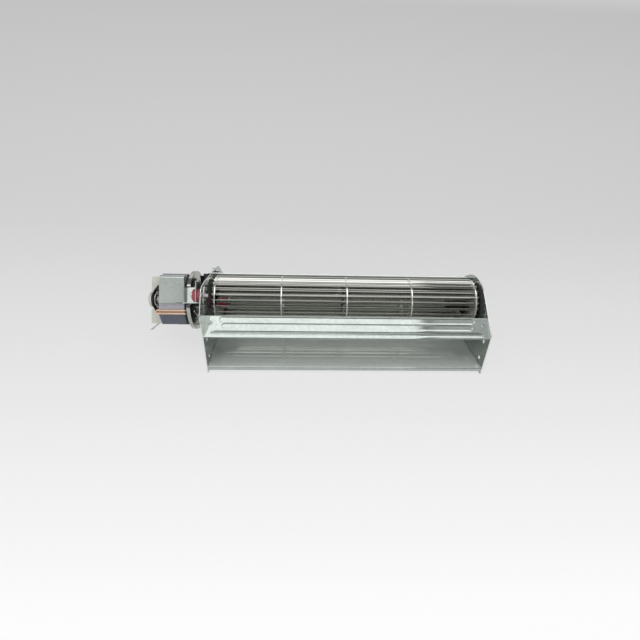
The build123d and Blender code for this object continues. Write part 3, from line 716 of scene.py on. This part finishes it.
def blade_section(steps=14, round_steps=3):
    """The blade's arc strip as (y, z) points from the axis, with rounded edges."""
    lean = math.cos(BLADE_OUTER_ANGLE)
    arc_r = (BLADE_OUTER_R**2 - BLADE_INNER_R**2) / (2 * BLADE_OUTER_R * lean)
    centre = Vector((BLADE_INNER_R, -arc_r))
    pitch_r = centre.length
    reach = (pitch_r**2 + arc_r**2 - BLADE_OUTER_R**2) / (2 * pitch_r * arc_r)
    turn = math.acos(reach) - math.atan2(BLADE_INNER_R, arc_r)
    half = BLADE_T / 2
    points = []

    def at(radius, angle):
        points.append(centre + radius * Vector((math.sin(angle), math.cos(angle))))

    def edge(angle, side):
        middle = centre + arc_r * Vector((math.sin(angle), math.cos(angle)))
        for i in range(1, 2 * round_steps):
            a = angle + math.pi * i / (2 * round_steps)
            points.append(middle + side * half * Vector((math.sin(a), math.cos(a))))

    for i in range(steps + 1):
        at(arc_r + half, turn * i / steps)
    edge(turn, 1)
    for i in range(steps + 1):
        at(arc_r - half, turn * (1 - i / steps))
    edge(0.0, -1)
    return points


# Stage


def area_light(name, place, target, size, radiance, reflects):
    """A soft box out of view. Radiance 1 reflects as white."""
    light = bpy.data.lights.new(name, "AREA")
    light.shape = "RECTANGLE"
    light.size, light.size_y = size
    light.energy = radiance * math.pi * size[0] * size[1]
    made = new_object(name, light)
    made.visible_camera = False
    made.visible_glossy = reflects
    back = (Vector(place) - Vector(target)).normalized()
    up = back.cross(Vector((1.0, 0.0, 0.0))).normalized()
    turn = Matrix((up.cross(back), up, back)).transposed()
    made.matrix_world = Matrix.Translation(place) @ turn.to_4x4()


def make_camera():
    """The photograph's viewpoint: close in front, a little left of the middle and above."""
    forward = CAMERA_FORWARD.normalized()
    right = forward.cross(CAMERA_UP).normalized()
    up = right.cross(forward)
    camera = bpy.data.cameras.new("camera")
    camera.sensor_width = CAMERA_SENSOR
    camera.lens = CAMERA_LENS
    camera.clip_start = CAMERA_NEAR
    made = new_object("camera", camera)
    turn = Matrix((right, up, -forward)).transposed()
    made.matrix_world = Matrix.Translation(CAMERA_PLACE) @ turn.to_4x4()
    bpy.context.scene.camera = made


def backdrop_material():
    """Plain pale paper that is white in front and greyer towards the back."""
    made = new_material("paper")
    tree = made.node_tree
    matt = add(tree, "ShaderNodeBsdfPrincipled", {
        "Base Color": linear("#E4E4E4"), "Roughness": 0.9, "Specular IOR Level": 0.1,
    })
    place = add(tree, "ShaderNodeTexCoord")
    split = add(tree, "ShaderNodeSeparateXYZ", {"Vector": place.outputs["Object"]}).outputs
    along = add(tree, "ShaderNodeMath", {0: split["Y"], 1: split["Z"]}, operation="ADD")
    share = add(tree, "ShaderNodeMapRange", {
        "Value": along.outputs[0], "From Min": PAPER_FROM, "From Max": PAPER_FROM + PAPER_LENGTH,
    })
    shade = add(
        tree, "ShaderNodeValToRGB", {"Fac": share.outputs["Result"]},
        stops=[((at - PAPER_FROM) / PAPER_LENGTH, linear(grey)) for at, grey in PAPER_GREYS],
    )
    glow = add(tree, "ShaderNodeEmission", {"Color": shade.outputs["Color"]})
    path = add(tree, "ShaderNodeLightPath").outputs
    mirrored = add(
        tree, "ShaderNodeMath", {0: path["Is Glossy Ray"], 1: path["Is Transmission Ray"]},
        operation="MAXIMUM",
    )
    seen = add(
        tree, "ShaderNodeMath", {0: path["Is Camera Ray"], 1: mirrored.outputs[0]},
        operation="MAXIMUM",
    )
    cover = add(
        tree, "ShaderNodeMath", {0: seen.outputs[0], 1: PAPER_GLOW}, operation="MULTIPLY"
    )
    mix = add(tree, "ShaderNodeMixShader", {
        0: cover.outputs[0], 1: matt.outputs["BSDF"], 2: glow.outputs["Emission"],
    })
    add(tree, "ShaderNodeOutputMaterial", {"Surface": mix.outputs["Shader"]})
    return made


def sweep_floor():
    """A floor that curves up into a back wall."""
    profile = [(FLOOR_FRONT, 0.0), (FLOOR_BACK - WALL_BEND, 0.0)]
    for i in range(1, BEND_STEPS + 1):
        a = math.pi / 2 * i / BEND_STEPS
        y = FLOOR_BACK - WALL_BEND + WALL_BEND * math.sin(a)
        profile.append((y, WALL_BEND - WALL_BEND * math.cos(a)))
    profile.append((FLOOR_BACK, WALL_HEIGHT))
    verts = [(x, y, z + FLOOR_Z) for y, z in profile for x in (-FLOOR_HALF, FLOOR_HALF)]
    faces = [(2 * i, 2 * i + 1, 2 * i + 3, 2 * i + 2) for i in range(len(profile) - 1)]
    mesh = mesh_of("floor", verts, faces)
    mesh.shade_smooth()
    mesh.materials.append(backdrop_material())
    new_object("floor", mesh)


def make_world(strength):
    """A dim even room, which the camera sees as pale paper."""
    world = bpy.data.worlds.new("studio")
    bpy.context.scene.world = world
    world.use_nodes = True
    tree = world.node_tree
    tree.nodes.clear()
    room = add(
        tree, "ShaderNodeBackground", {"Color": linear("#EDF0F0"), "Strength": strength}
    )
    paper = add(tree, "ShaderNodeBackground", {"Color": linear("#D9D9D9"), "Strength": 1.0})
    path = add(tree, "ShaderNodeLightPath").outputs
    mix = add(tree, "ShaderNodeMixShader", {
        0: path["Is Camera Ray"], 1: room.outputs["Background"],
        2: paper.outputs["Background"],
    })
    add(tree, "ShaderNodeOutputWorld", {"Surface": mix.outputs["Shader"]})


# Sizes and colours that a user would change


class FanSettings(bpy.types.PropertyGroup):
    """Sizes and colours of the fan's fine pieces"""

    sheet_round: bpy.props.FloatProperty(
        name="Sheet edge", description="Rounding of the edges of the folded sheet",
        default=0.12 * MM, min=0.01 * MM, unit="LENGTH",
    )
    moulded_round: bpy.props.FloatProperty(
        name="Moulded edge", description="Rounding of the edges of rubber and plastic",
        default=0.45 * MM, min=0.01 * MM, unit="LENGTH",
    )
    lamination: bpy.props.FloatProperty(
        name="Lamination", description="Thickness of one stamped sheet of the motor's frame",
        default=0.5 * MM, min=0.2 * MM, unit="LENGTH",
    )
    thread_pitch: bpy.props.FloatProperty(
        name="Thread pitch", description="Pitch of the threads of mount screws and earth screw",
        default=0.7 * MM, min=0.2 * MM, unit="LENGTH",
    )
    sheet: bpy.props.FloatVectorProperty(
        name="Sheet", description="Lightest colour of the galvanised sheet", size=4,
        subtype="COLOR", min=0.0, max=1.0, default=linear("#B5BCB7"),
    )
    strip: bpy.props.FloatVectorProperty(
        name="Blade strip", description="Lightest colour of the blades' aluminium", size=4,
        subtype="COLOR", min=0.0, max=1.0, default=linear("#CDCDC7"),
    )
    copper: bpy.props.FloatVectorProperty(
        name="Copper", description="Lightest colour of the shading rings' wire", size=4,
        subtype="COLOR", min=0.0, max=1.0, default=linear("#FFD6B6"),
    )
    rubber: bpy.props.FloatVectorProperty(
        name="Mount rubber", description="Colour of the rubber mounts and the coupling", size=4,
        subtype="COLOR", min=0.0, max=1.0, default=linear("#8C3040"),
    )
    overhead: bpy.props.FloatProperty(
        name="Overhead light", description="Brightness of the rear and front overhead soft boxes",
        default=1.75, min=0.0,
    )
    sky: bpy.props.FloatProperty(
        name="Room light", description="Brightness of the room round the stage",
        default=0.2, min=0.0,
    )


# Pieces


class FAN_OT_stage(bpy.types.Operator):
    """Makes the camera, the lights, the room and the floor"""

    bl_idname = "fan.stage"
    bl_label = "Stage"

    def execute(self, context):
        settings = context.scene.fan
        context.scene.view_settings.view_transform = "Standard"
        make_world(settings.sky)
        sweep_floor()
        make_camera()
        context.scene.cycles.glossy_bounces = GLOSSY_BOUNCES
        context.scene.cycles.max_bounces = ALL_BOUNCES
        for name, (place, target, size, radiance, reflects) in SOFT_BOXES.items():
            area_light(name, place, target, size, radiance or settings.overhead, reflects)
        return {"FINISHED"}


class FAN_OT_finishes(bpy.types.Operator):
    """Mixes the finishes and gives every solid its own"""

    bl_idname = "fan.finishes"
    bl_label = "Finishes"

    def execute(self, context):
        make_materials(context.scene.fan)
        for node in frame["nodes"]:
            finish_node(node)
        return {"FINISHED"}


class FAN_OT_sheet_metal(bpy.types.Operator):
    """Rounds the edges of the sheet metal; gives its sheared edges a painted highlight, and the
    duct and the front plate's slope a paler zinc as painted light
    """

    bl_idname = "fan.sheet_metal"
    bl_label = "Sheet metal"

    def execute(self, context):
        width = context.scene.fan.sheet_round
        for node in ("motor_bracket_rear", "heat_shield"):
            rounded(node, width)
        # The front plate's slope towards the wheel gets the paler zinc: painted light
        refinish(rounded("front_plate", width), "brightened_zinc",
                 lambda face: face.normal.y > 0.5)
        # The front bracket's lower edge faces forwards and down, and gets a painted highlight
        refinish(rounded("motor_bracket_front", width), "cut_edge_highlight",
                 lambda face: face.normal.y < -0.6 and face.normal.z < -0.2)
        # The outlet lip keeps the plain galvanised sheet, without the painted light of the duct
        # floor that it ends
        lip_z = AXIS.z + LIP_TOP
        refinish(rounded("scroll_wall", width), "galvanised",
                 lambda face: face.center.z < lip_z and face.normal.y < -0.15)
        # The rim of each side plate stands square to its two faces, and gets a painted highlight
        for node, end in (("side_plate_left", 0), ("side_plate_right", 1)):
            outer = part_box(node)[end].x
            refinish(rounded(node, width), "cut_edge_highlight",
                     lambda face: abs(face.center.x - outer) < SIDE_SHEET
                     and abs(face.normal.x) < 0.9)
        for node in ("bearing_bracket_left", "bearing_bracket_right"):
            rounded(node, BRACKET_ROUNDS * width)
        return {"FINISHED"}


class FAN_OT_wheel_blades(bpy.types.Operator):
    """Copies one rounded blade round the wheel"""

    bl_idname = "fan.wheel_blades"
    bl_label = "Wheel blades"

    def execute(self, context):
        low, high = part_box("blades")
        sections = [
            [Vector((x, p.x, p.y)) for p in blade_section()] for x in (low.x, high.x)
        ]
        made = grown(
            "wheel_blades", lofted("blade", sections), round_copies_tree(), SHARP_BLADE,
            Centre=AXIS, Count=BLADES, Phase=0.5, Material=MATERIALS["aluminium"],
        )
        joins(made, "blades")
        return {"FINISHED"}


class FAN_OT_wheel_discs(bpy.types.Operator):
    """Rounds the rims and slots of the wheel's discs, and its clips"""

    bl_idname = "fan.wheel_discs"
    bl_label = "Wheel discs"

    def execute(self, context):
        for node in ("end_disc_left", "inner_disc_1", "inner_disc_2", "inner_disc_3",
                     "end_disc_right"):
            rounded(node, DISC_ROUND, segments=3)
        rounded("balance_clips", CLIP_ROUND)
        return {"FINISHED"}


class FAN_OT_moulded_parts(bpy.types.Operator):
    """Rounds the rubber mounts, the coupling, the hub, the cap and the cooling fan"""

    bl_idname = "fan.moulded_parts"
    bl_label = "Moulded parts"

    def execute(self, context):
        width = context.scene.fan.moulded_round
        for node in ("grommets", "rubber_coupling", "bearing_mount_rubber", "end_hub",
                     "bearing_cap"):
            rounded(node, width, segments=3)
        for node in ("cooling_fan", "coil_bobbin"):
            rounded(node, 0.5 * width)
        return {"FINISHED"}


class FAN_OT_laminations(bpy.types.Operator):
    """Stacks the stamped sheets of the motor's frame"""

    bl_idname = "fan.laminations"
    bl_label = "Laminations"

    def execute(self, context):
        low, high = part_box("stator_stack")
        solid = merged_copy("stator_stack")
        face = bmesh.new()
        face.from_mesh(solid)
        loose = [f for f in face.faces if f.normal.x > -0.99]
        bmesh.ops.delete(face, geom=loose, context="FACES")
        bmesh.ops.reverse_faces(face, faces=face.faces)
        face.to_mesh(solid)
        face.free()
        pitch = context.scene.fan.lamination
        count = round((high.x - low.x) / pitch)
        made = grown(
            "stator_laminations", solid, sheet_stack_tree(), SHARP_SHEET, Count=count,
            Pitch=pitch, Thickness=SHEET_SHARE * pitch, Material=MATERIALS["lamination_steel"],
        )
        joins(made, "stator_stack")
        return {"FINISHED"}


class FAN_OT_shading_rings(bpy.types.Operator):
    """Bends the thick copper wires through the pole slots and round the frame"""

    bl_idname = "fan.shading_rings"
    bl_label = "Shading rings"

    def execute(self, context):
        low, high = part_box("shading_rings")
        x0, x1 = low.x / MM + SHADE_WIRE_R, high.x / MM - SHADE_WIRE_R
        verts, edges = [], []
        for sign, face_t in SHADE_FACE_T.items():
            for (t, w), out_w in zip(SHADE_HOLES, SHADE_OUT_W):
                inner = (sign * t, sign * w)
                outer = (-sign * (face_t + SHADE_WIRE_R), sign * out_w)
                start = len(verts)
                corners = [(x0, *inner), (x1, *inner), (x1, *outer), (x0, *outer)]
                verts += [from_motor(*corner) for corner in corners]
                edges += [(start + i, start + (i + 1) % 4) for i in range(4)]
        made = grown(
            "shading_wires", mesh_of("paths", verts, edges=edges), bent_wire_tree(),
            SHARP_WIRE,
            **{"Wire radius": SHADE_WIRE_R * MM, "Bend radius": SHADE_BEND_R * MM},
            Material=MATERIALS["copper"],
        )
        joins(made, "shading_rings")
        return {"FINISHED"}


class FAN_OT_coil(bpy.types.Operator):
    """Rounds the edges of the taped coil"""

    bl_idname = "fan.coil"
    bl_label = "Coil"

    def execute(self, context):
        rounded("coil_tape", SMALL_ROUND)
        return {"FINISHED"}


class FAN_OT_fasteners(bpy.types.Operator):
    """Rounds the screws, nuts, rivets and turned parts, and threads the screw ends"""

    bl_idname = "fan.fasteners"
    bl_label = "Fasteners"

    def execute(self, context):
        for node in ("mount_screws", "motor_screws", "motor_nuts"):
            rounded(node, SCREW_ROUND)
        for node in ("front_plate_rivets", "shield_rivets", "bracket_rivets", "earth_screw",
                     "fan_clip", "terminal_tabs", "bush_retainer_left", "motor_shaft",
                     "stub_shaft", "mount_sleeves"):
            rounded(node, SMALL_ROUND)
        tree = thread_tree()
        pitch = context.scene.fan.thread_pitch
        mounts = [from_motor(PLATE_OUT_X / MM, t, w) for t, w in MOUNTS]
        earth = Vector((PLATE_OUT_X, EARTH_SCREW[0] + AXIS.y, EARTH_SCREW[1] + AXIS.z))
        for name, starts, (radius, length) in (
                ("mount_screw_threads", mounts, MOUNT_THREAD),
                ("earth_screw_thread", [earth], EARTH_THREAD)):
            threads = grown(
                name, mesh_of("starts", starts), tree, SHARP_THREAD, Radius=radius, Pitch=pitch,
                Turns=length / pitch, Depth=THREAD_DEPTH * pitch,
                Material=MATERIALS["zinc_steel"],
            )
            joins(threads, body="housing")
        return {"FINISHED"}


class FAN_PT_panel(bpy.types.Panel):
    """Lists the fan's settings, and its pieces in the order in which they are made"""

    bl_idname = "FAN_PT_panel"
    bl_label = "Cross flow fan"
    bl_space_type = "VIEW_3D"
    bl_region_type = "UI"
    bl_category = "Fan"

    def draw(self, context):
        for name in FanSettings.__annotations__:
            self.layout.prop(context.scene.fan, name)
        for operator in OPERATORS:
            self.layout.operator(operator.bl_idname)


OPERATORS = [
    FAN_OT_stage, FAN_OT_finishes, FAN_OT_sheet_metal, FAN_OT_wheel_blades, FAN_OT_wheel_discs,
    FAN_OT_moulded_parts, FAN_OT_laminations, FAN_OT_shading_rings, FAN_OT_coil,
    FAN_OT_fasteners,
]
CLASSES = [FanSettings, *OPERATORS, FAN_PT_panel]


def register():
    for cls in CLASSES:
        bpy.utils.register_class(cls)
    bpy.types.Scene.fan = bpy.props.PointerProperty(type=FanSettings)


def unregister():
    del bpy.types.Scene.fan
    for cls in reversed(CLASSES):
        bpy.utils.unregister_class(cls)


def main():
    register()
    for operator in OPERATORS:
        group, name = operator.bl_idname.split(".")
        getattr(getattr(bpy.ops, group), name)()


if __name__ == "__main__":
    main()
